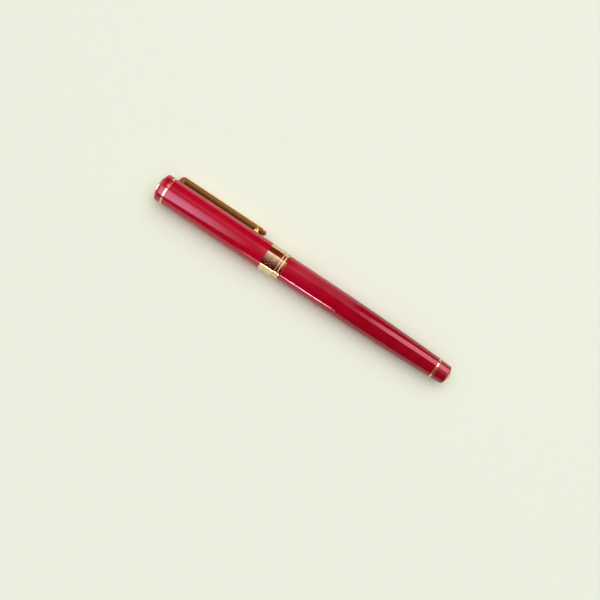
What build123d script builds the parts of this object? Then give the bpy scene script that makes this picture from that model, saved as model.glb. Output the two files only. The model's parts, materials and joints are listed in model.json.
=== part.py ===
from build123d import *
import os
from math import cos, radians, sin, sqrt

# A capped rollerball pen, lying along the X axis. The origin is on the pen's axis, at the
# barrel's front shoulder, where the cap's lip stops. +X points to the cap's top, the same
# way as the writing tip inside the cap, and +Z points up from the surface the pen lies on.
# All sizes are in millimetres.

# Fits
PRESS = 0.02  # radial gap drawn between pieces that are pressed or glued together
RUNNING = 0.05  # radial gap between pieces that turn or slide on each other
FACE_GAP = 0.05  # axial gap between stacked faces

# Cap
CAP_R = 5.8
CAP_BORE_R = 5.35
CAP_TOP_X = 53.75
BAND_R = 5.83
BAND_START_X = 2.6
BAND_END_X = 8.5
BAND_RIM_WIDTH = 0.35
BAND_RIM_HEIGHT = 0.05
BAND_BORE_R = 5.0
BAND_NECK_R = 5.3
BAND_NECK_X = 0.3
BAND_SPIGOT_END_X = 13.0
SPRIG_ANGLE = -23.0  # degrees from +Z, on the side away from the clip
SPRIG_LEAF = (0.85, 0.3)  # half axes of one leaf
SPRIG_PAIRS = 4
SPRIG_STEP = 1.36
SPRIG_LEAF_TURN = 38.0
SPRIG_STEM_WIDTH = 0.24
ENGRAVING_DEPTH = 0.1
LIP_RIM_END_X = 0.42
LIP_RIM_R = 5.7
LIP_GROOVE_R = 5.45
LIP_BEADS = ((1.0, 0.3), (2.3, 0.22))  # centre along the axis and radius of each bead
LIP_BEAD_CREST_R = 5.8
LINER_BORE_R = 4.72
LINER_START_X = 1.2
LINER_END_X = 48.0
LINER_FLOOR = 0.8
SNAP_X = 5.6
SNAP_WIDTH = 1.0
SNAP_HEIGHT = 0.085
FINGER_COUNT = 4
FINGER_SLIT = 0.8
FINGER_LENGTH = 9.0

# Clip
CLIP_ANGLE = 114.0  # degrees round the axis from +Z towards -Y
CLIP_TIP_X = 13.5
CLIP_ROOT_X = 53.45
CLIP_OUTER_R = 9.0
CLIP_THICKNESS = 0.8
CLIP_ROOT_THICKNESS = 1.0
CLIP_BEND_R = 2.6
CLIP_HALF_WIDTH = 2.0
CLIP_CROWN_R = 5.5
CLIP_TIP_CORNER_R = 1.9
CLIP_TIP_LIFT = 0.3
CLIP_FOOT_LENGTH = 3.0
CLIP_FOOT_R = 4.1
CLIP_FOOT_THICKNESS = 0.5
CLIP_NUB_X = 17.4
CLIP_NUB_R = 1.25
CLIP_SLOT_GAP = 0.15

# Cap top
TOP_RING_WIDTH = 0.95
TOP_RING_R = 5.82
TOP_RING_EDGE_R = 0.12
FINIAL_WIDTH = 2.85
FINIAL_HUB_R = 3.45
FINIAL_CORNER_R = 1.05
FINIAL_DISC_R = 4.3
FINIAL_DISC_EDGE = 0.35
FINIAL_DOME_HEIGHT = 0.95
FINIAL_SCREW_R = 1.2
FINIAL_SCREW_HEAD_R = 2.2
FINIAL_SCREW_HEAD_LENGTH = 0.8
SCREW_RECESS_DEPTH = 1.0
SCREW_SLOT_WIDTH = 0.5
SCREW_SLOT_DEPTH = 0.4
PLUG_WEB = 2.4  # solid length of the plug beyond the screw's end
DISC_SEAT_DEPTH = 0.5

# Barrel
BARREL_R = 5.32
BARREL_EDGE_R = 0.4
BARREL_STRAIGHT = 14.0
BARREL_MID_X, BARREL_MID_R = -41.0, 5.13
BARREL_SHOULDER_X, BARREL_SHOULDER_R = -56.0, 4.77
BARREL_END_X, BARREL_END_R = -70.05, 4.25
BARREL_END_SLOPE = -0.045
BARREL_BORE_R = 4.6
BARREL_BORE_TAPER_X = -45.0
BARREL_BORE_END_R = 3.72
INSERT_LENGTH = 12.0
INSERT_R = 4.85
THREAD_R = 4.2
THREAD_DEPTH = 0.35
THREAD_PITCH = 0.75
THREAD_LENGTH = 6.0
THREAD_HALF_WIDTH = 0.3
THREAD_RELIEF = 1.0  # plain length at each end of the thread

# Tail
TAIL_RING_WIDTH = 0.85
TAIL_RING_R = 4.27
TAIL_RING_EDGE_R = 0.18
TAIL_RING_BORE_R = 2.5
TAIL_CAP_LENGTH = 5.2
TAIL_CAP_R = 4.15
TAIL_CAP_END_R = 3.85
TAIL_CORNER_R = 0.8
TAIL_DISC_R = 2.8
TAIL_DOME_HEIGHT = 1.3
TAIL_STUD_R = 1.55
TAIL_STUD_TO_SEAT = 0.6
TAIL_PLUG_X = -67.0
SPRING_SEAT_X = -69.3
SPRING_POCKET_R = 2.75
SPRING_R = 2.2
SPRING_WIRE_R = 0.2
SPRING_TURNS = 5

# Section, which is the part held when writing
SECTION_RING_R = 4.9
SECTION_RING_END_X = 1.0
SHANK_R = 3.85
SHANK_BORE_R = 3.2
SHANK_END_X = 9.0
GRIP_REAR_R = 4.45
GRIP_WAIST_R = 3.95
GRIP_FRONT_R = 4.1
GRIP_BORE_R = 3.15
GRIP_WAIST_X = 23.0
GRIP_END_X = 34.0
GRIP_RIDGE_R = 4.55
GRIP_RIDGE_WIDTH = 1.2
SNAP_CLEARANCE = 0.2  # between the fingers' ridge and the grip's ridge
NOSE_R = 4.05
NOSE_BULGE = 0.25
NOSE_END_X = 43.6
NOSE_END_R = 1.6
NOSE_BORE_R = 2.0
NOSE_BORE_END_X = 41.6

# Refill
REFILL_R = 3.0
REFILL_WALL = 0.3
REFILL_REAR_X = -62.5
REFILL_SHOULDER_X = 30.0
REFILL_PLUG_FLANGE = 2.0
REFILL_NOSE_R = 1.9
REFILL_NOSE_END_X = 41.0
REFILL_SPIGOT_LENGTH = 4.0
TIP_SPIGOT_LENGTH = 2.0
TIP_SPIGOT_R = 1.0
TIP_R = 1.2
TIP_CONE_X = 43.8
TIP_END_X = 45.85
TIP_END_R = 0.42
BALL_R = 0.35
BALL_X = 45.7
BALL_GAP = 0.02
INK_BORE_R = 0.3
VENT_R = 0.4
FEED_ROD_R = 0.85
FEED_ROD_X = 18.0
RESERVOIR_X = -58.0
RESERVOIR_TO_PLUG = 1.0


def turned(*outline, mode=Mode.ADD):
    """Turn a closed (x, radius) outline about the pen's axis, in the part being built."""
    with BuildSketch(Plane.XY) as profile:
        with BuildLine():
            Polyline(*outline, close=True)
        make_face()
    revolve(profile.sketch, axis=Axis.X, mode=mode)


def sleeve(x_start, x_end, inner_r, outer_r, mode=Mode.ADD):
    """A plain tube or rod about the pen's axis."""
    turned((x_start, inner_r), (x_end, inner_r), (x_end, outer_r), (x_start, outer_r), mode=mode)


def outer_rims(builder, outer_r):
    """The two circular edges of a ring at its outer radius."""
    circles = builder.edges().filter_by(GeomType.CIRCLE)
    return circles.filter_by(lambda edge: abs(edge.radius - outer_r) < PRESS)


def save(builder, label):
    """Name a finished piece and write it."""
    builder.part.label = label
    export_step(builder.part, f"parts/{label}.step")


def radial(angle):
    """The direction that stands off the axis, at an angle from +Z towards -Y."""
    return (0, -sin(radians(angle)), cos(radians(angle)))


def tangent(angle):
    """The direction round the axis, square to X and to the radial direction."""
    return (0, -cos(radians(angle)), -sin(radians(angle)))


os.makedirs("parts", exist_ok=True)

clip_side = Plane(origin=(0, 0, 0), x_dir=(1, 0, 0), z_dir=tangent(CLIP_ANGLE))
clip_face = Plane(origin=(0, 0, 0), x_dir=(1, 0, 0), z_dir=radial(CLIP_ANGLE))
slot_start_x = CLIP_ROOT_X - CLIP_ROOT_THICKNESS - CLIP_SLOT_GAP
slot_width = 2 * (CLIP_HALF_WIDTH + CLIP_SLOT_GAP)

# ---------------------------------------------------------------- cap

# The slot for the clip's root is open at the shell's top end, where the top ring closes it.
with BuildPart() as cap_shell:
    sleeve(BAND_END_X + FACE_GAP, CAP_TOP_X, CAP_BORE_R, CAP_R)
    with BuildSketch(clip_face):
        with Locations((slot_start_x, 0)):
            Rectangle(CAP_TOP_X - slot_start_x, slot_width, align=(Align.MIN, Align.CENTER))
    extrude(amount=2 * CAP_R, mode=Mode.SUBTRACT)
save(cap_shell, "cap_shell")

# The wide band at the cap's mouth: a polished field between two low rims, an engraved
# laurel sprig, a neck that carries the lip ring and a spigot inside the shell.
BAND_FIELD_R = BAND_R - BAND_RIM_HEIGHT
SPRIG_X = (BAND_START_X + BAND_END_X) / 2

with BuildPart() as sprig:
    with BuildSketch(Plane(origin=(SPRIG_X, 0, 0), x_dir=(1, 0, 0), z_dir=radial(SPRIG_ANGLE))):
        Rectangle(SPRIG_STEM_WIDTH, (SPRIG_PAIRS + 0.5) * SPRIG_STEP)
        for pair in range(SPRIG_PAIRS):
            leaf_y = (pair - (SPRIG_PAIRS - 1) / 2) * SPRIG_STEP
            for side in (-1, 1):
                with Locations((side * SPRIG_LEAF[0], leaf_y)):
                    Ellipse(*SPRIG_LEAF, rotation=side * SPRIG_LEAF_TURN)
    extrude(amount=2 * BAND_R)
    sleeve(BAND_START_X, BAND_END_X, BAND_FIELD_R - ENGRAVING_DEPTH, 2 * BAND_R, mode=Mode.INTERSECT)

with BuildPart() as cap_band:
    turned(
        (BAND_NECK_X, BAND_BORE_R),
        (BAND_SPIGOT_END_X, BAND_BORE_R),
        (BAND_SPIGOT_END_X, CAP_BORE_R - PRESS),
        (BAND_END_X, CAP_BORE_R - PRESS),
        (BAND_END_X, BAND_R),
        (BAND_END_X - BAND_RIM_WIDTH, BAND_R),
        (BAND_END_X - BAND_RIM_WIDTH, BAND_FIELD_R),
        (BAND_START_X + BAND_RIM_WIDTH / 2, BAND_FIELD_R),
        (BAND_START_X + BAND_RIM_WIDTH / 2, BAND_R),
        (BAND_START_X, BAND_R),
        (BAND_START_X, BAND_NECK_R),
        (BAND_NECK_X, BAND_NECK_R),
    )
    add(sprig.part, mode=Mode.SUBTRACT)
save(cap_band, "cap_band")

# The lip ring: a thin rim at the mouth, then two rounded beads with deep grooves between.
with BuildPart() as cap_lip_ring:
    turned(
        (FACE_GAP, BAND_NECK_R + PRESS),
        (BAND_START_X - FACE_GAP, BAND_NECK_R + PRESS),
        (BAND_START_X - FACE_GAP, LIP_GROOVE_R),
        (LIP_RIM_END_X, LIP_GROOVE_R),
        (LIP_RIM_END_X, LIP_RIM_R),
        (FACE_GAP, LIP_RIM_R),
    )
    for bead_x, bead_r in LIP_BEADS:
        with BuildSketch(Plane.XY) as bead:
            with Locations((bead_x, LIP_BEAD_CREST_R - bead_r)):
                Circle(bead_r)
            with Locations((bead_x, 0)):
                Rectangle(4 * bead_r, 2 * (BAND_NECK_R + PRESS), mode=Mode.SUBTRACT)
        revolve(bead.sketch, axis=Axis.X)
save(cap_lip_ring, "cap_lip_ring")

# The liner seals the tip. Its mouth is slit into fingers with a low inner ridge, which
# clicks over the ridge on the grip.
with BuildPart() as cap_liner:
    turned(
        (LINER_START_X, LINER_BORE_R),
        (SNAP_X, LINER_BORE_R),
        (SNAP_X + SNAP_WIDTH / 2, LINER_BORE_R - SNAP_HEIGHT),
        (SNAP_X + SNAP_WIDTH, LINER_BORE_R),
        (LINER_END_X - LINER_FLOOR, LINER_BORE_R),
        (LINER_END_X - LINER_FLOOR, 0),
        (LINER_END_X, 0),
        (LINER_END_X, CAP_BORE_R - PRESS),
        (BAND_SPIGOT_END_X + FACE_GAP, CAP_BORE_R - PRESS),
        (BAND_SPIGOT_END_X + FACE_GAP, BAND_BORE_R - PRESS),
        (LINER_START_X, BAND_BORE_R - PRESS),
    )
    with BuildSketch(Plane.YZ.offset(LINER_START_X)):
        for finger in range(FINGER_COUNT // 2):
            Rectangle(4 * CAP_R, FINGER_SLIT, rotation=finger * 360 / FINGER_COUNT)
    extrude(amount=FINGER_LENGTH, mode=Mode.SUBTRACT)
save(cap_liner, "cap_liner")

# The plug closes the cap's top, holds the clip's foot in a pocket and takes the screw.
PLUG_START_X = LINER_END_X + FACE_GAP
POCKET_START_X = CLIP_ROOT_X - CLIP_ROOT_THICKNESS - CLIP_FOOT_LENGTH - 2 * CLIP_SLOT_GAP
POCKET_FLOOR_R = CLIP_FOOT_R - CLIP_SLOT_GAP
SCREW_END_X = PLUG_START_X + PLUG_WEB

with BuildPart() as cap_plug:
    sleeve(PLUG_START_X, CAP_TOP_X, 0, CAP_BORE_R - PRESS)
    sleeve(SCREW_END_X - FACE_GAP, CAP_TOP_X, 0, FINIAL_SCREW_R + PRESS, mode=Mode.SUBTRACT)
    with BuildSketch(clip_face.offset(POCKET_FLOOR_R)):
        with Locations((POCKET_START_X, 0)):
            Rectangle(CAP_TOP_X - POCKET_START_X, slot_width, align=(Align.MIN, Align.CENTER))
    extrude(amount=CAP_R, mode=Mode.SUBTRACT)
save(cap_plug, "cap_plug")

# The clip: a crowned strip, bent down at its root through the slot in the cap, with a
# foot inside, a round nub that presses on the cap and a rounded, slightly lifted tip.
CLIP_INNER_R = CLIP_OUTER_R - CLIP_THICKNESS
CLIP_BEND_X = CLIP_ROOT_X - CLIP_BEND_R
CLIP_INNER_BEND_R = CLIP_BEND_R - CLIP_ROOT_THICKNESS
CLIP_FOOT_TOP_R = CLIP_FOOT_R + CLIP_FOOT_THICKNESS

with BuildPart() as clip:
    with BuildSketch(clip_side):
        with BuildLine():
            inner_bend = CenterArc(
                (CLIP_BEND_X, CLIP_INNER_R - CLIP_INNER_BEND_R), CLIP_INNER_BEND_R, 0, 90
            )
            outer_bend = CenterArc((CLIP_BEND_X, CLIP_OUTER_R - CLIP_BEND_R), CLIP_BEND_R, 0, 90)
            Polyline(
                inner_bend @ 0,
                (CLIP_ROOT_X - CLIP_ROOT_THICKNESS, CLIP_FOOT_TOP_R),
                (CLIP_ROOT_X - CLIP_ROOT_THICKNESS - CLIP_FOOT_LENGTH, CLIP_FOOT_TOP_R),
                (CLIP_ROOT_X - CLIP_ROOT_THICKNESS - CLIP_FOOT_LENGTH, CLIP_FOOT_R),
                (CLIP_ROOT_X, CLIP_FOOT_R),
                outer_bend @ 0,
            )
            Polyline(
                outer_bend @ 1,
                (CLIP_TIP_X + CLIP_HALF_WIDTH, CLIP_OUTER_R),
                (CLIP_TIP_X, CLIP_OUTER_R - CLIP_TIP_LIFT / 2),
                (CLIP_TIP_X, CLIP_INNER_R + CLIP_TIP_LIFT),
                (CLIP_TIP_X + 2 * CLIP_HALF_WIDTH, CLIP_INNER_R),
                inner_bend @ 1,
            )
        make_face()
    extrude(amount=CLIP_HALF_WIDTH, both=True)
    # rounded tip, seen square to the clip's face
    with BuildSketch(clip_face):
        with Locations((CLIP_TIP_X, 0)):
            Rectangle(
                CLIP_ROOT_X - CLIP_TIP_X, 2 * CLIP_HALF_WIDTH, align=(Align.MIN, Align.CENTER)
            )
        fillet(vertices().group_by(Axis.X)[0], radius=CLIP_TIP_CORNER_R)
    extrude(amount=2 * CLIP_OUTER_R, mode=Mode.INTERSECT)
    # crowned outer face
    crown_centre = clip_face.offset(CLIP_OUTER_R - CLIP_CROWN_R).origin
    with BuildSketch(Plane(origin=crown_centre, x_dir=(0, 1, 0), z_dir=(1, 0, 0))):
        Circle(CLIP_CROWN_R)
    extrude(amount=CLIP_ROOT_X, mode=Mode.INTERSECT)
    # nub
    nub_plane = clip_face.offset(CAP_R + FACE_GAP + CLIP_NUB_R)
    with BuildSketch(nub_plane):
        with Locations((CLIP_NUB_X, 0)):
            Circle(CLIP_NUB_R)
    extrude(amount=CLIP_OUTER_R - CLIP_THICKNESS / 2 - CAP_R - FACE_GAP - CLIP_NUB_R)
    with Locations(nub_plane.from_local_coords((CLIP_NUB_X, 0, 0))):
        Sphere(CLIP_NUB_R)
save(clip, "clip")

TOP_RING_X = CAP_TOP_X + FACE_GAP
FINIAL_X = TOP_RING_X + TOP_RING_WIDTH + FACE_GAP
FINIAL_END_X = FINIAL_X + FINIAL_WIDTH
DISC_SEAT_X = FINIAL_END_X - DISC_SEAT_DEPTH
SCREW_RECESS_X = DISC_SEAT_X - SCREW_RECESS_DEPTH

with BuildPart() as cap_top_ring:
    sleeve(TOP_RING_X, TOP_RING_X + TOP_RING_WIDTH, FINIAL_HUB_R + PRESS, TOP_RING_R)
    fillet(outer_rims(cap_top_ring, TOP_RING_R), radius=TOP_RING_EDGE_R)
save(cap_top_ring, "cap_top_ring")

with BuildPart() as cap_finial:
    with BuildSketch(Plane.XY) as finial_profile:
        with Locations((FINIAL_X, 0)):
            Rectangle(FINIAL_WIDTH, CAP_R, align=(Align.MIN, Align.MIN))
        outer_corner = finial_profile.vertices().group_by(Axis.X)[-1].sort_by(Axis.Y)[-1]
        fillet(outer_corner, radius=FINIAL_CORNER_R)
        with Locations((FINIAL_X, 0)):
            Rectangle(TOP_RING_WIDTH, FINIAL_HUB_R, align=(Align.MAX, Align.MIN))
    revolve(axis=Axis.X)
    sleeve(TOP_RING_X, FINIAL_END_X, 0, FINIAL_SCREW_R + PRESS, mode=Mode.SUBTRACT)
    sleeve(SCREW_RECESS_X, FINIAL_END_X, 0, FINIAL_SCREW_HEAD_R + PRESS, mode=Mode.SUBTRACT)
    sleeve(DISC_SEAT_X, FINIAL_END_X, 0, FINIAL_DISC_R + PRESS, mode=Mode.SUBTRACT)
save(cap_finial, "cap_finial")

with BuildPart() as finial_screw:
    head_x = SCREW_RECESS_X + FACE_GAP
    head_end_x = head_x + FINIAL_SCREW_HEAD_LENGTH
    sleeve(SCREW_END_X, head_x, 0, FINIAL_SCREW_R)
    sleeve(head_x, head_end_x, 0, FINIAL_SCREW_HEAD_R)
    with BuildSketch(Plane.YZ.offset(head_end_x - SCREW_SLOT_DEPTH)):
        Rectangle(2 * FINIAL_SCREW_HEAD_R, SCREW_SLOT_WIDTH)
    extrude(amount=SCREW_SLOT_DEPTH, mode=Mode.SUBTRACT)
save(finial_screw, "finial_screw")


def domed_disc(seat_x, rim_x, dome_x, radius):
    """A flat-backed disc with a rim and a spherical crown, on either end of the pen."""
    height = abs(dome_x - rim_x)
    crown_r = (radius**2 + height**2) / (2 * height)
    mid_height = sqrt(crown_r**2 - (radius / 2) ** 2) - (crown_r - height)
    mid_x = rim_x + (dome_x - rim_x) * mid_height / height
    with BuildSketch(Plane.XY) as profile:
        with BuildLine():
            ThreePointArc((rim_x, radius), (mid_x, radius / 2), (dome_x, 0))
            Polyline((dome_x, 0), (seat_x, 0), (seat_x, radius), (rim_x, radius))
        make_face()
    revolve(profile.sketch, axis=Axis.X)


with BuildPart() as finial_disc:
    disc_edge_x = FINIAL_END_X + FINIAL_DISC_EDGE
    domed_disc(
        DISC_SEAT_X + FACE_GAP, disc_edge_x, disc_edge_x + FINIAL_DOME_HEIGHT, FINIAL_DISC_R
    )
save(finial_disc, "finial_disc")

# ---------------------------------------------------------------- barrel

with BuildPart() as barrel:
    with BuildSketch(Plane.XY):
        with BuildLine():
            Line((0, BARREL_R - BARREL_EDGE_R), (0, INSERT_R))
            edge_centre = (-BARREL_EDGE_R, BARREL_R - BARREL_EDGE_R)
            CenterArc(edge_centre, BARREL_EDGE_R, 0, 90)
            Line((-BARREL_EDGE_R, BARREL_R), (-BARREL_STRAIGHT, BARREL_R))
            Spline(
                (-BARREL_STRAIGHT, BARREL_R),
                (BARREL_MID_X, BARREL_MID_R),
                (BARREL_SHOULDER_X, BARREL_SHOULDER_R),
                (BARREL_END_X, BARREL_END_R),
                tangents=[(-1, 0), (-1, BARREL_END_SLOPE)],
            )
            Polyline(
                (BARREL_END_X, BARREL_END_R),
                (BARREL_END_X, BARREL_BORE_END_R),
                (BARREL_BORE_TAPER_X, BARREL_BORE_R),
                (-INSERT_LENGTH, BARREL_BORE_R),
                (-INSERT_LENGTH, INSERT_R),
                (0, INSERT_R),
            )
        make_face()
    revolve(axis=Axis.X)
save(barrel, "barrel")

with BuildPart() as thread_insert:
    sleeve(-INSERT_LENGTH + FACE_GAP, 0, THREAD_R + RUNNING, INSERT_R - PRESS)
save(thread_insert, "thread_insert")

TAIL_RING_X = BARREL_END_X - FACE_GAP
TAIL_CAP_X = TAIL_RING_X - TAIL_RING_WIDTH - FACE_GAP
TAIL_END_X = TAIL_CAP_X - TAIL_CAP_LENGTH
TAIL_SEAT_X = TAIL_END_X + DISC_SEAT_DEPTH
STUD_END_X = TAIL_SEAT_X + TAIL_STUD_TO_SEAT

with BuildPart() as tail_ring:
    sleeve(TAIL_RING_X - TAIL_RING_WIDTH, TAIL_RING_X, TAIL_RING_BORE_R + PRESS, TAIL_RING_R)
    fillet(outer_rims(tail_ring, TAIL_RING_R), radius=TAIL_RING_EDGE_R)
save(tail_ring, "tail_ring")

with BuildPart() as tail_cap:
    with BuildSketch(Plane.XY) as tail_profile:
        with BuildLine():
            Polyline(
                (TAIL_CAP_X, 0),
                (TAIL_CAP_X, TAIL_CAP_R),
                (TAIL_END_X, TAIL_CAP_END_R),
                (TAIL_END_X, 0),
                close=True,
            )
        make_face()
        tail_corner = tail_profile.vertices().group_by(Axis.X)[0].sort_by(Axis.Y)[-1]
        fillet(tail_corner, radius=TAIL_CORNER_R)
    revolve(axis=Axis.X)
    sleeve(TAIL_END_X, TAIL_SEAT_X, 0, TAIL_DISC_R + PRESS, mode=Mode.SUBTRACT)
    sleeve(STUD_END_X - FACE_GAP, TAIL_CAP_X, 0, TAIL_STUD_R + PRESS, mode=Mode.SUBTRACT)
save(tail_cap, "tail_cap")

with BuildPart() as tail_disc:
    domed_disc(TAIL_SEAT_X - FACE_GAP, TAIL_END_X, TAIL_END_X - TAIL_DOME_HEIGHT, TAIL_DISC_R)
save(tail_disc, "tail_disc")

with BuildPart() as tail_plug:
    turned(
        (TAIL_PLUG_X, SPRING_POCKET_R),
        (TAIL_PLUG_X, BARREL_BORE_END_R - PRESS),
        (BARREL_END_X, BARREL_BORE_END_R - PRESS),
        (BARREL_END_X, TAIL_RING_BORE_R),
        (TAIL_CAP_X + FACE_GAP, TAIL_RING_BORE_R),
        (TAIL_CAP_X + FACE_GAP, TAIL_STUD_R),
        (STUD_END_X, TAIL_STUD_R),
        (STUD_END_X, 0),
        (SPRING_SEAT_X, 0),
        (SPRING_SEAT_X, SPRING_POCKET_R),
    )
save(tail_plug, "tail_plug")

REFILL_END_X = REFILL_REAR_X - FACE_GAP - REFILL_PLUG_FLANGE
SPRING_START_X = SPRING_SEAT_X + SPRING_WIRE_R + FACE_GAP
SPRING_LENGTH = REFILL_END_X - SPRING_WIRE_R - FACE_GAP - SPRING_START_X

with BuildPart() as refill_spring:
    with BuildLine():
        coil = Helix(
            SPRING_LENGTH / SPRING_TURNS,
            SPRING_LENGTH,
            SPRING_R,
            center=(SPRING_START_X, 0, 0),
            direction=(1, 0, 0),
        )
    with BuildSketch(Plane(origin=coil @ 0, z_dir=coil % 0)):
        Circle(SPRING_WIRE_R)
    sweep(is_frenet=True)
save(refill_spring, "refill_spring")

# ---------------------------------------------------------------- section

SECTION_RING_X = FACE_GAP
GRIP_X = SECTION_RING_END_X + FACE_GAP

with BuildPart() as section_ring:
    sleeve(SECTION_RING_X, SECTION_RING_END_X, SHANK_R + RUNNING, SECTION_RING_R)
save(section_ring, "section_ring")

# The shank: a brass tube pressed into the grip, with a true right-hand helical thread
# behind the trim ring.
THREAD_START_X = -THREAD_LENGTH - THREAD_RELIEF

with BuildPart() as section_shank:
    sleeve(THREAD_START_X - THREAD_RELIEF, SHANK_END_X, SHANK_BORE_R, SHANK_R)
    with BuildLine():
        thread_path = Helix(
            THREAD_PITCH,
            THREAD_LENGTH,
            SHANK_R,
            center=(THREAD_START_X, 0, 0),
            direction=(1, 0, 0),
        )
    with BuildSketch(Plane(origin=thread_path @ 0, x_dir=(1, 0, 0), z_dir=thread_path % 0)):
        Polygon(
            (THREAD_HALF_WIDTH, 0),
            (0, THREAD_DEPTH),
            (-THREAD_HALF_WIDTH, 0),
            (0, -THREAD_DEPTH),
        )
    sweep(is_frenet=True)
save(section_shank, "section_shank")

# The grip: a waisted sleeve with a low ridge near its rear for the cap's fingers.
GRIP_RIDGE_X = SNAP_X + SNAP_WIDTH + SNAP_CLEARANCE

with BuildPart() as grip:
    with BuildSketch(Plane.XY):
        with BuildLine():
            Polyline(
                (GRIP_END_X, GRIP_FRONT_R),
                (GRIP_END_X, GRIP_BORE_R),
                (SHANK_END_X + FACE_GAP, GRIP_BORE_R),
                (SHANK_END_X + FACE_GAP, SHANK_R + PRESS),
                (GRIP_X, SHANK_R + PRESS),
                (GRIP_X, GRIP_REAR_R),
                (GRIP_RIDGE_X, GRIP_REAR_R),
                (GRIP_RIDGE_X + GRIP_RIDGE_WIDTH / 2, GRIP_RIDGE_R),
                (GRIP_RIDGE_X + GRIP_RIDGE_WIDTH, GRIP_REAR_R),
            )
            Spline(
                (GRIP_RIDGE_X + GRIP_RIDGE_WIDTH, GRIP_REAR_R),
                (GRIP_WAIST_X, GRIP_WAIST_R),
                (GRIP_END_X, GRIP_FRONT_R),
                tangents=[(1, 0), (1, 0)],
            )
        make_face()
    revolve(axis=Axis.X)
save(grip, "grip")

NOSE_X = GRIP_END_X + FACE_GAP

with BuildPart() as nose_cone:
    with BuildSketch(Plane.XY):
        with BuildLine():
            nose_mid = ((NOSE_X + NOSE_END_X) / 2, (NOSE_R + NOSE_END_R) / 2 + NOSE_BULGE)
            ThreePointArc((NOSE_X, NOSE_R), nose_mid, (NOSE_END_X, NOSE_END_R))
            Polyline(
                (NOSE_END_X, NOSE_END_R),
                (NOSE_END_X, TIP_R + RUNNING),
                (NOSE_BORE_END_X, TIP_R + RUNNING),
                (NOSE_BORE_END_X, NOSE_BORE_R),
                (REFILL_SHOULDER_X + FACE_GAP, NOSE_BORE_R),
                (REFILL_SHOULDER_X + FACE_GAP, GRIP_BORE_R - PRESS),
                (NOSE_X, GRIP_BORE_R - PRESS),
                (NOSE_X, NOSE_R),
            )
        make_face()
    revolve(axis=Axis.X)
save(nose_cone, "nose_cone")

# ---------------------------------------------------------------- refill

REFILL_BORE_R = REFILL_R - REFILL_WALL
TIP_SPIGOT_X = REFILL_NOSE_END_X - TIP_SPIGOT_LENGTH

with BuildPart() as refill_tube:
    sleeve(REFILL_REAR_X, REFILL_SHOULDER_X, REFILL_BORE_R, REFILL_R)
save(refill_tube, "refill_tube")

with BuildPart() as refill_front:
    turned(
        (REFILL_SHOULDER_X - REFILL_SPIGOT_LENGTH, FEED_ROD_R + PRESS),
        (REFILL_SHOULDER_X - REFILL_SPIGOT_LENGTH, REFILL_BORE_R - PRESS),
        (REFILL_SHOULDER_X, REFILL_BORE_R - PRESS),
        (REFILL_SHOULDER_X, REFILL_NOSE_R),
        (REFILL_NOSE_END_X, REFILL_NOSE_R),
        (REFILL_NOSE_END_X, TIP_SPIGOT_R + PRESS),
        (TIP_SPIGOT_X, TIP_SPIGOT_R + PRESS),
        (TIP_SPIGOT_X, FEED_ROD_R + PRESS),
    )
save(refill_front, "refill_front")

with BuildPart() as refill_tip:
    turned(
        (TIP_SPIGOT_X + FACE_GAP, INK_BORE_R),
        (TIP_SPIGOT_X + FACE_GAP, TIP_SPIGOT_R),
        (REFILL_NOSE_END_X + FACE_GAP, TIP_SPIGOT_R),
        (REFILL_NOSE_END_X + FACE_GAP, TIP_R),
        (TIP_CONE_X, TIP_R),
        (TIP_END_X, TIP_END_R),
        (TIP_END_X, INK_BORE_R),
    )
    with Locations((BALL_X, 0, 0)):
        Sphere(BALL_R + BALL_GAP, mode=Mode.SUBTRACT)
save(refill_tip, "refill_tip")

with BuildPart() as writing_ball:
    with Locations((BALL_X, 0, 0)):
        Sphere(BALL_R)
save(writing_ball, "writing_ball")

with BuildPart() as feed_rod:
    sleeve(FEED_ROD_X, TIP_SPIGOT_X - FACE_GAP, 0, FEED_ROD_R)
save(feed_rod, "feed_rod")

RESERVOIR_END_X = REFILL_SHOULDER_X - REFILL_SPIGOT_LENGTH - FACE_GAP

with BuildPart() as ink_reservoir:
    sleeve(RESERVOIR_X, RESERVOIR_END_X, 0, REFILL_BORE_R - PRESS)
    sleeve(FEED_ROD_X - FACE_GAP, RESERVOIR_END_X, 0, FEED_ROD_R + PRESS, mode=Mode.SUBTRACT)
save(ink_reservoir, "ink_reservoir")

with BuildPart() as refill_end_plug:
    sleeve(REFILL_END_X, REFILL_REAR_X - FACE_GAP, VENT_R, REFILL_R)
    sleeve(REFILL_REAR_X - FACE_GAP, RESERVOIR_X - RESERVOIR_TO_PLUG, VENT_R, REFILL_BORE_R - PRESS)
save(refill_end_plug, "refill_end_plug")
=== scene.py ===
import bpy
import json
import math
from mathutils import Matrix, Vector

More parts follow.
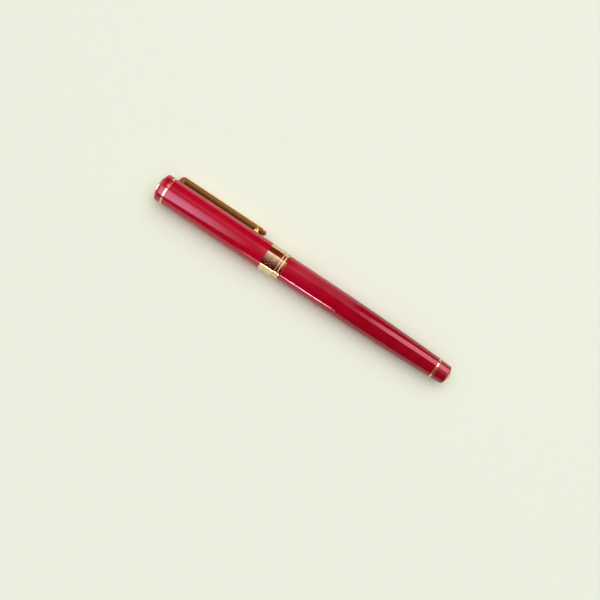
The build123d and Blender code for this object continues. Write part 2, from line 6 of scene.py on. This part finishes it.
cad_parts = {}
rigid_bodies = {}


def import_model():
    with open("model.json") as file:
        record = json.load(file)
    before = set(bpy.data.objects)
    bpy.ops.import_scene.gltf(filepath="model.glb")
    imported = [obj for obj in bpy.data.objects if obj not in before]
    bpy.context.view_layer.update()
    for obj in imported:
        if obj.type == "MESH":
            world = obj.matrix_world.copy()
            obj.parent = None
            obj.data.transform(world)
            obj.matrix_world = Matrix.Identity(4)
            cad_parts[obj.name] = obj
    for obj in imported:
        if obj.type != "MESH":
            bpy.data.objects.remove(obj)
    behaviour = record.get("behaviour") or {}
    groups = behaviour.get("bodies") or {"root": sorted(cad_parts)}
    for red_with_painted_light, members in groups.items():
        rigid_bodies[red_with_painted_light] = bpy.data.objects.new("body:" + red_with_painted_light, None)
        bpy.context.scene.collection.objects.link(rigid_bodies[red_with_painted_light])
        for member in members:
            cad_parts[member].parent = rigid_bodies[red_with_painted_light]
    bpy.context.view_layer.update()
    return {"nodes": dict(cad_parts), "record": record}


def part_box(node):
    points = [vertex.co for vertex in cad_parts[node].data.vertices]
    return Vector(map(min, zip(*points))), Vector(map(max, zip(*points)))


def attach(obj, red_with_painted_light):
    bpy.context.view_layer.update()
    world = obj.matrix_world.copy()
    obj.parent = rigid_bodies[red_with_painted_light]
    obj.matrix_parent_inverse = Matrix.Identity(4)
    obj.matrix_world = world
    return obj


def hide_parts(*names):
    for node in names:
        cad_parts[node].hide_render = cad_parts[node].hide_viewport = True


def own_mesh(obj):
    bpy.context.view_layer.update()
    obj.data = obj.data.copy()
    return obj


# The looks of a capped pen: gloss red lacquer and polished gold plate, on a pale floor.
# Metres throughout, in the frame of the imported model: the pen lies along X, its cap
# towards +X, and the floor is just below it.

for leftover in list(bpy.data.objects):
    bpy.data.objects.remove(leftover)

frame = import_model()
nodes = frame["nodes"]
scene = bpy.context.scene

MM = 0.001


# ---------------------------------------------------------------- node helpers


class Graph:
    """A small wrapper that adds nodes to a material or world and joins them in one call."""

    def __init__(self, owner):
        owner.use_nodes = True
        self.tree = owner.node_tree
        self.tree.nodes.clear()

    def add(self, kind, inputs=None, **settings):
        node = self.tree.nodes.new(kind)
        for name, value in settings.items():
            setattr(node, name, value)
        for name, value in (inputs or {}).items():
            self.feed(node.inputs[name], value)
        return node

    def feed(self, socket, value):
        if isinstance(value, bpy.types.NodeSocket):
            self.tree.links.new(value, socket)
        else:
            socket.default_value = value

    def math(self, operation, first, second=0.0, third=0.0):
        values = {0: first, 1: second, 2: third}
        return self.add("ShaderNodeMath", values, operation=operation).outputs[0]

    def span(self, value, low, high, out_low=0.0, out_high=1.0):
        """A smooth step from out_low at low to out_high at high."""
        inputs = {"Value": value, "From Min": low, "From Max": high, "To Min": out_low, "To Max": out_high}
        return self.add("ShaderNodeMapRange", inputs, interpolation_type="SMOOTHSTEP").outputs[0]

    def ramp(self, value, low, high):
        """A straight rise from 0 at low to 1 at high."""
        inputs = {"Value": value, "From Min": low, "From Max": high}
        return self.add("ShaderNodeMapRange", inputs).outputs[0]

    def mix(self, factor, first, second):
        node = self.add("ShaderNodeMix", data_type="RGBA")
        self.feed(node.inputs["Factor"], factor)
        self.feed(node.inputs[6], first)
        self.feed(node.inputs[7], second)
        return node.outputs[2]

    def scaled(self, colour, level, plus=(0, 0, 0)):
        """A colour times a level, plus another colour."""
        node = self.add("ShaderNodeVectorMath", operation="MULTIPLY_ADD")
        level_vector = self.add("ShaderNodeCombineXYZ", {0: level, 1: level, 2: level})
        self.feed(node.inputs[0], level_vector.outputs[0])
        self.feed(node.inputs[1], colour)
        self.feed(node.inputs[2], plus)
        return node.outputs["Vector"]

    def dot(self, vector, direction):
        node = self.add("ShaderNodeVectorMath", operation="DOT_PRODUCT")
        self.feed(node.inputs[0], vector)
        self.feed(node.inputs[1], tuple(direction))
        return node.outputs["Value"]


def srgb(red, green, blue):
    """A colour given as 0 to 255 screen values, as linear light."""
    linear = []
    for value in (red, green, blue):
        share = value / 255
        linear.append(share / 12.92 if share <= 0.04045 else ((share + 0.055) / 1.055) ** 2.4)
    return (*linear, 1.0)


def noise(graph, per_metre, detail=3.0, roughness=0.5, stretch=(1, 1, 1)):
    """Noise over the object's own coordinates, so it stays with the piece when it moves."""
    place = graph.add("ShaderNodeTexCoord").outputs["Object"]
    scaled = graph.add("ShaderNodeMapping", {"Vector": place, "Scale": stretch}).outputs[0]
    inputs = {"Vector": scaled, "Scale": per_metre, "Detail": detail, "Roughness": roughness}
    return graph.add("ShaderNodeTexNoise", inputs).outputs[0]


def bump(graph, height, strength, depth):
    inputs = {"Height": height, "Strength": strength, "Distance": depth}
    return graph.add("ShaderNodeBump", inputs).outputs[0]


def finish_material(graph, inputs):
    shader = graph.add("ShaderNodeBsdfPrincipled", inputs)
    graph.add("ShaderNodeOutputMaterial", {"Surface": shader.outputs[0]})


# ---------------------------------------------------------------- materials


def red_lacquer():
    """Deep red lacquer under a clear coat, with a faint orange peel and a pearly body. Its red carries
    painted light: lighter towards the cap and darker, as painted shade, towards the tail.
    """
    material = bpy.data.materials.new("gloss_red_lacquer")
    graph = Graph(material)
    cloud = noise(graph, 260.0, detail=4.0)
    pearl = graph.span(cloud, 0.35, 0.65)
    place = graph.add("ShaderNodeTexCoord").outputs["Object"]
    # painted light and shade: a lit red towards the cap, a shaded red towards the tail
    painted_light_towards_cap = graph.span(graph.dot(place, (1, 0, 0)), -52.0 * MM, 14.0 * MM)
    shaded_tail_red = graph.mix(pearl, srgb(152, 4, 25), srgb(159, 5, 29))
    lit_cap_red = graph.mix(pearl, srgb(184, 5, 37), srgb(192, 7, 42))
    red_with_painted_light = graph.mix(painted_light_towards_cap, shaded_tail_red, lit_cap_red)
    peel = noise(graph, 1400.0, detail=2.0)
    fine = noise(graph, 9000.0, detail=2.0)
    finish_material(graph, {
        "Base Color": red_with_painted_light,
        "Roughness": graph.span(fine, 0.3, 0.7, 0.30, 0.38),
        "Specular IOR Level": 0.0,
        "Coat Weight": 1.0,
        "Coat Roughness": graph.span(cloud, 0.3, 0.7, 0.025, 0.05),
        "Coat IOR": 1.55,
        "Coat Normal": bump(graph, peel, 0.12, 0.01 * MM),
        "Normal": bump(graph, fine, 0.15, 0.01 * MM),
    })
    return material


def gold_plate():
    """Polished gold plate with hairline polishing marks and a slightly uneven shine."""
    material = bpy.data.materials.new("polished_gold_plate")
    graph = Graph(material)
    cloud = noise(graph, 350.0, detail=3.0)
    hairlines = noise(graph, 2500.0, detail=2.0, stretch=(8, 1, 1))
    finish_material(graph, {
        "Base Color": graph.mix(graph.span(cloud, 0.3, 0.7), srgb(230, 204, 160), srgb(222, 194, 146)),
        "Metallic": 1.0,
        "Roughness": graph.span(hairlines, 0.3, 0.7, 0.04, 0.09),
        "Normal": bump(graph, hairlines, 0.03, 0.01 * MM),
    })
    return material


def sprung_gold():
    """The clip's plating: satin from handling. The inner face towards the cap carries painted light and
    shade instead of the plating's own colour: bright yellow at the top, darkening to a red-brown painted
    shade low down by the cap.
    """
    material = bpy.data.materials.new("satin_gold_plate")
    graph = Graph(material)
    cloud = noise(graph, 500.0, detail=4.0)
    brushed = noise(graph, 3000.0, detail=2.0, stretch=(0.15, 1, 1))
    normal = graph.add("ShaderNodeTexCoord").outputs["Normal"]
    inward = graph.span(graph.dot(normal, CLIP_INWARD), 0.2, 0.8)
    outside = graph.mix(graph.span(cloud, 0.3, 0.7), srgb(232, 203, 150), srgb(222, 190, 136))
    place = graph.add("ShaderNodeTexCoord").outputs["Object"]
    # painted shade on the inner face: darker and red-brown low down, in the gap by the cap; the face is
    # also made less metallic
    lower_painted_shade = graph.span(graph.dot(place, (0, 0, 1)), -1.4 * MM, -5.0 * MM)
    inner_painted_light_and_shade = graph.mix(graph.math("MULTIPLY_ADD", cloud, 0.2, lower_painted_shade), srgb(240, 216, 96), srgb(140, 62, 20))
    finish_material(graph, {
        "Base Color": graph.mix(inward, outside, inner_painted_light_and_shade),
        "Metallic": graph.math("MULTIPLY_ADD", inward, -0.65, 1.0),
        "Specular IOR Level": 0.1,
        "Roughness": graph.math("MULTIPLY_ADD", inward, 0.12, graph.span(brushed, 0.3, 0.7, 0.16, 0.26)),
        "Normal": bump(graph, brushed, 0.12, 0.01 * MM),
    })
    return material


def turned_brass():
    """Raw brass from the lathe, with fine rings along the axis."""
    material = bpy.data.materials.new("turned_brass")
    graph = Graph(material)
    rings = noise(graph, 1200.0, detail=3.0, stretch=(6, 0.2, 0.2))
    stain = noise(graph, 300.0, detail=5.0)
    finish_material(graph, {
        "Base Color": graph.mix(graph.span(stain, 0.3, 0.7), srgb(214, 178, 108), srgb(190, 150, 84)),
        "Metallic": 1.0,
        "Roughness": graph.span(rings, 0.3, 0.7, 0.22, 0.4),
        "Normal": bump(graph, rings, 0.35, 0.02 * MM),
    })
    return material


def brushed_steel():
    """Steel with short drawn marks along the axis."""
    material = bpy.data.materials.new("drawn_steel")
    graph = Graph(material)
    marks = noise(graph, 1800.0, detail=3.0, stretch=(0.15, 1, 1))
    finish_material(graph, {
        "Base Color": graph.mix(marks, srgb(188, 190, 194), srgb(214, 215, 217)),
        "Metallic": 1.0,
        "Roughness": graph.span(marks, 0.3, 0.7, 0.2, 0.36),
        "Normal": bump(graph, marks, 0.25, 0.02 * MM),
    })
    return material


def nickel_silver():
    """The writing tip's pale turned metal."""
    material = bpy.data.materials.new("turned_nickel_silver")
    graph = Graph(material)
    rings = noise(graph, 3000.0, detail=2.0, stretch=(6, 0.2, 0.2))
    finish_material(graph, {
        "Base Color": graph.mix(rings, srgb(206, 202, 190), srgb(224, 220, 208)),
        "Metallic": 1.0,
        "Roughness": graph.span(rings, 0.3, 0.7, 0.14, 0.26),
        "Normal": bump(graph, rings, 0.2, 0.01 * MM),
    })
    return material


def carbide():
    """The ball: dark, very smooth, with a trace of grain."""
    material = bpy.data.materials.new("tungsten_carbide")
    graph = Graph(material)
    grain = noise(graph, 20000.0, detail=2.0)
    finish_material(graph, {
        "Base Color": graph.mix(grain, srgb(112, 112, 116), srgb(138, 138, 142)),
        "Metallic": 1.0,
        "Roughness": graph.span(grain, 0.3, 0.7, 0.1, 0.2),
        "Normal": bump(graph, grain, 0.1, 0.005 * MM),
    })
    return material


def black_gloss():
    """The grip's polished black plastic, with faint handling marks."""
    material = bpy.data.materials.new("polished_black_plastic")
    graph = Graph(material)
    haze = noise(graph, 700.0, detail=5.0)
    finish_material(graph, {
        "Base Color": graph.mix(haze, srgb(14, 13, 14), srgb(24, 22, 24)),
        "Roughness": graph.span(haze, 0.35, 0.7, 0.1, 0.24),
        "Coat Weight": 0.6,
        "Coat Roughness": 0.04,
        "Normal": bump(graph, haze, 0.1, 0.01 * MM),
    })
    return material


def moulded_plastic():
    """Dark moulded plastic with a fine spark-eroded grain."""
    material = bpy.data.materials.new("moulded_plastic")
    graph = Graph(material)
    grain = noise(graph, 5000.0, detail=3.0)
    finish_material(graph, {
        "Base Color": graph.mix(grain, srgb(44, 44, 47), srgb(62, 62, 66)),
        "Roughness": graph.span(grain, 0.3, 0.7, 0.42, 0.6),
        "Normal": bump(graph, grain, 0.4, 0.02 * MM),
    })
    return material


def inked_fibre():
    """Bonded fibre soaked in blue-black ink."""
    material = bpy.data.materials.new("inked_fibre")
    graph = Graph(material)
    strands = noise(graph, 4000.0, detail=4.0, stretch=(0.1, 1, 1))
    finish_material(graph, {
        "Base Color": graph.mix(strands, srgb(24, 26, 60), srgb(52, 56, 104)),
        "Roughness": 0.8,
        "Normal": bump(graph, strands, 0.8, 0.05 * MM),
    })
    return material


# from the clip to the pen's axis
clip_hinge = next(joint for joint in frame["record"]["behaviour"]["joints"] if joint["child"] == "clip")
CLIP_INWARD = -Vector((0, *clip_hinge["pos_m"][1:])).normalized()

FINISHES = {
    "red_lacquer": red_lacquer(),
    "gold_plate": gold_plate(),
    "brass": turned_brass(),
    "black_gloss": black_gloss(),
    "liner_plastic": moulded_plastic(),
    "steel": brushed_steel(),
    "nickel_silver": nickel_silver(),
    "carbide": carbide(),
    "fibre": inked_fibre(),
}

for subpart in frame["record"]["subparts"]:
    piece = nodes[subpart["node"]]
    piece.data.materials.clear()
    piece.data.materials.append(FINISHES[subpart["material_slot"]])
nodes["clip"].data.materials[0] = sprung_gold()

# ---------------------------------------------------------------- refill spring


def build_spring():
    """The refill's spring as a piece of its own on the barrel, in place of the CAD coil, which keeps its
    rest shape."""
    coil = nodes["refill_spring"]
    spring = bpy.data.objects.new("refill_coil", coil.data.copy())
    spring.matrix_world = coil.matrix_world.copy()
    scene.collection.objects.link(spring)
    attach(spring, "barrel")
    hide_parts("refill_spring")
    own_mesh(spring)


build_spring()

# ---------------------------------------------------------------- stage

floor_z = min(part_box(name)[0].z for name in ("cap_shell", "cap_band", "cap_lip_ring"))
FLOOR_SIDE = 12.0


def pale_paper():
    material = bpy.data.materials.new("pale_floor")
    graph = Graph(material)
    grain = noise(graph, 900.0, detail=4.0)
    finish_material(graph, {
        "Base Color": graph.mix(grain, srgb(241, 245, 228), srgb(244, 248, 231)),
        "Roughness": 0.85,
        "Specular IOR Level": 0.2,
        "Normal": bump(graph, grain, 0.05, 0.02 * MM),
    })
    return material


def build_floor():
    mesh = bpy.data.meshes.new("floor")
    half = FLOOR_SIDE / 2
    corners = [(-half, -half, 0), (half, -half, 0), (half, half, 0), (-half, half, 0)]
    mesh.from_pydata(corners, [], [(0, 1, 2, 3)])
    mesh.materials.append(pale_paper())
    floor = bpy.data.objects.new("floor", mesh)
    floor.location.z = floor_z
    scene.collection.objects.link(floor)


build_floor()

# ---------------------------------------------------------------- camera

# The camera looks almost straight down. The pen lies askew in the picture: its axis runs
# from the upper left, where the cap is, to the lower right.
PEN_SLOPE = math.radians(33.34)
CAMERA_HEIGHT = 0.350
HALF_PICTURE_OVER_FOCAL_LENGTH = 300 / 907
FIELD_OF_VIEW = 2 * math.atan(HALF_PICTURE_OVER_FOCAL_LENGTH)
LOOK_AT = Vector((-12.2 * MM, 7.1 * MM, 0))
CAMERA_FOOT = Vector((-15.0 * MM, 57.0 * MM, 0))

picture_up = Vector((math.sin(PEN_SLOPE), -math.cos(PEN_SLOPE), 0))


def build_camera():
    data = bpy.data.cameras.new("camera")
    data.lens_unit = "FOV"
    data.angle = FIELD_OF_VIEW
    data.clip_start = 0.01
    camera = bpy.data.objects.new("camera", data)
    scene.collection.objects.link(camera)
    place = CAMERA_FOOT + Vector((0, 0, CAMERA_HEIGHT))
    back = (place - LOOK_AT).normalized()
    right = picture_up.cross(back).normalized()
    up = back.cross(right)
    turn = Matrix((right, up, back)).transposed()
    camera.matrix_world = Matrix.Translation(place) @ turn.to_4x4()
    scene.camera = camera


build_camera()

# ---------------------------------------------------------------- light

scene.view_settings.view_transform = "Standard"


def degrees_round(graph, direction):
    """The angle of a direction round the pen's axis: 0 straight up, positive towards +Y."""
    side = graph.dot(direction, (0, 1, 0))
    up = graph.dot(direction, (0, 0, 1))
    return graph.math("MULTIPLY", graph.math("ARCTAN2", side, up), math.degrees(1))


def between(graph, value, low, high, blur):
    """1 between low and high and 0 outside them, with soft edges."""
    above = graph.span(graph.math("SUBTRACT", value, low), -blur, blur)
    lower_painted_shade = graph.span(graph.math("SUBTRACT", value, high), blur, -blur)
    return graph.math("MULTIPLY", above, lower_painted_shade)


def straight(graph, value, slope, start):
    return graph.math("MULTIPLY_ADD", value, slope, start)


# Colours of the painted room's parts, as linear light.
CAP_WINDOW_TINT = (1.4, 0.92, 1.3)
TAIL_WINDOW_TINT = (2.2, 0.88, 1.15)
GAP_TINT = (1.8, 0.9, 1.1)
PLAIN_TINT = (0.97, 1.0, 1.15)
WARM_TINT = (0.95, 1.08, 0.95)
DUSK_TINT = (0.14, 0.013, 0.012)

# The sky that matt surfaces see, brightest overhead.
SKY_TINT = (1.0, 1.0, 1.0, 1.0)
SKY_CENTRE = Vector((0, -0.13, 1)).normalized()
SKY_PEAK = 2.35
SKY_BASE = 0.13
SKY_FOCUS = 4.0
BACKDROP = srgb(236, 240, 226)


def build_room():
    """The light on the pen: a soft sky for matt surfaces, and for shiny ones a dim room
    with two soft windows, one beyond each end of the pen."""
    world = bpy.data.worlds.new("room")
    scene.world = world
    graph = Graph(world)
    direction = graph.add("ShaderNodeTexCoord").outputs["Generated"]
    along = graph.dot(direction, (1, 0, 0))
    turn = degrees_round(graph, direction)

    # window beyond the cap: brighter on the side away from the clip
    cap_window = between(graph, turn, 0.0, straight(graph, along, 260.0, 15.0), 7.0)
    cap_window = graph.math("MULTIPLY", cap_window, graph.ramp(along, 0.085, 0.175))
    cap_window = graph.math("MULTIPLY", cap_window, graph.span(turn, -10.0, 40.0, 1.8, 3.8))
    cap_window = graph.math("MULTIPLY", cap_window, graph.span(along, 0.25, 0.32, 1.0, 0.04))
    light = graph.scaled(CAP_WINDOW_TINT, cap_window)
    # window beyond the tail, on the clip's side
    tail_window = between(
        graph, turn, straight(graph, along, 180.0, -28.3), straight(graph, along, 30.0, -12.0), 3.5
    )
    tail_window = graph.math("MULTIPLY", tail_window, graph.span(along, -0.03, -0.17, 0.0, 3.1))
    tail_window = graph.math("MULTIPLY", tail_window, graph.span(along, -0.36, -0.43, 1.0, 0.04))
    light = graph.scaled(TAIL_WINDOW_TINT, tail_window, plus=light)
    # thin bright gap low down opposite the clip, seen only near the middle of the pen
    gap_start = straight(graph, along, 60.0, 79.5)
    gap = between(graph, turn, gap_start, graph.math("ADD", gap_start, 7.0), 1.5)
    gap = graph.math("MULTIPLY", gap, between(graph, along, -0.03, 0.09, 0.012))
    gap = graph.math("MULTIPLY", gap, graph.span(along, 0.02, 0.05, 21.0, 4.5))
    light = graph.scaled(GAP_TINT, gap, plus=light)
    # dim wall on the clip's side
    wall = between(graph, turn, -104.0, -22.0, 6.0)
    wall = graph.math("MULTIPLY", wall, between(graph, along, -0.06, 0.035, 0.012))
    wall = graph.math("MULTIPLY", wall, 0.42)
    # ceiling, brightest at its edge and fading away overhead
    ceiling = between(graph, turn, -37.0, 45.0, 2.5)
    ceiling = graph.math("MULTIPLY", ceiling, graph.math("POWER", graph.ramp(turn, 60.0, -45.0), 2.1))
    ceiling = graph.math("MULTIPLY", ceiling, graph.span(along, -0.02, 0.04, 0.0, 0.55))
    lamp = between(graph, along, 0.046, 0.072, 0.007)
    ceiling = graph.math("MULTIPLY", ceiling, graph.math("MULTIPLY_ADD", lamp, 2.2, 1.0))
    # the far ends of the room, which only the discs' edges mirror
    away = graph.math("ABSOLUTE", along)
    ends = graph.span(away, 0.75, 0.95, 0.0, 1.0)
    plain = graph.math("ADD", graph.math("ADD", wall, ceiling), ends)
    light = graph.scaled(PLAIN_TINT, plain, plus=light)
    # warm side walls, which only beads and rounded edges mirror: bright up to the ceiling
    wall_rise = graph.span(turn, -52.0, -36.0, 0.7, 1.9)
    wall_fade = graph.span(turn, -12.0, 36.0, 0.0, -1.8)
    side_wall = graph.math("ADD", wall_rise, wall_fade)
    side_wall = graph.math("MULTIPLY", side_wall, graph.span(away, 0.24, 0.33))
    side_wall = graph.math("MULTIPLY", side_wall, graph.span(away, 0.85, 0.7))
    light = graph.scaled(WARM_TINT, side_wall, plus=light)
    # what is left is a dusky red-brown: strongest just below the ceiling's edge and far out
    dusk_rise = graph.span(turn, -75.0, -48.0, 1.0, 1.7)
    dusk_fade = graph.span(turn, -35.0, 0.0, 0.0, -1.1)
    dusk = graph.math("ADD", dusk_rise, dusk_fade)
    dusk = graph.math("MULTIPLY", dusk, graph.span(away, 0.08, 0.14, 1.0, 2.0))
    light = graph.scaled(DUSK_TINT, dusk, plus=light)
    room = graph.add("ShaderNodeBackground", {"Color": light})

    # the sky is brightest overhead, as under a large soft box
    overhead = graph.math("MAXIMUM", graph.dot(direction, SKY_CENTRE), 0.0)
    sky_level = graph.math("MULTIPLY_ADD", graph.math("POWER", overhead, SKY_FOCUS), SKY_PEAK, SKY_BASE)
    sky = graph.add("ShaderNodeBackground", {"Color": SKY_TINT, "Strength": sky_level})
    ray = graph.add("ShaderNodeLightPath")
    shiny = ray.outputs["Is Glossy Ray"]
    both = graph.add("ShaderNodeMixShader", {0: shiny, 1: sky.outputs[0], 2: room.outputs[0]})
    # the camera itself sees a pale backdrop beyond the floor
    backdrop = graph.add("ShaderNodeBackground", {"Color": BACKDROP})
    seen = graph.add(
        "ShaderNodeMixShader", {0: ray.outputs["Is Camera Ray"], 1: both.outputs[0], 2: backdrop.outputs[0]}
    )
    graph.add("ShaderNodeOutputWorld", {"Surface": seen.outputs[0]})


build_room()


def soft_light(name, place, side, power, target=(0, 0, 0)):
    """A square studio light. It lights matt surfaces and casts the soft shadow."""
    data = bpy.data.lights.new(name, "AREA")
    data.shape = "SQUARE"
    data.size = side
    data.energy = power
    light = bpy.data.objects.new(name, data)
    light.location = place
    light.rotation_euler = (Vector(target) - Vector(place)).to_track_quat("-Z", "Y").to_euler()
    light.visible_glossy = False
    scene.collection.objects.link(light)


LIGHT_PLACE = (-0.1, -0.45, 0.65)
LIGHT_SIDE = 0.5
LIGHT_WATTS = 0.3
soft_light("overhead", LIGHT_PLACE, LIGHT_SIDE, LIGHT_WATTS)

bpy.context.view_layer.update()
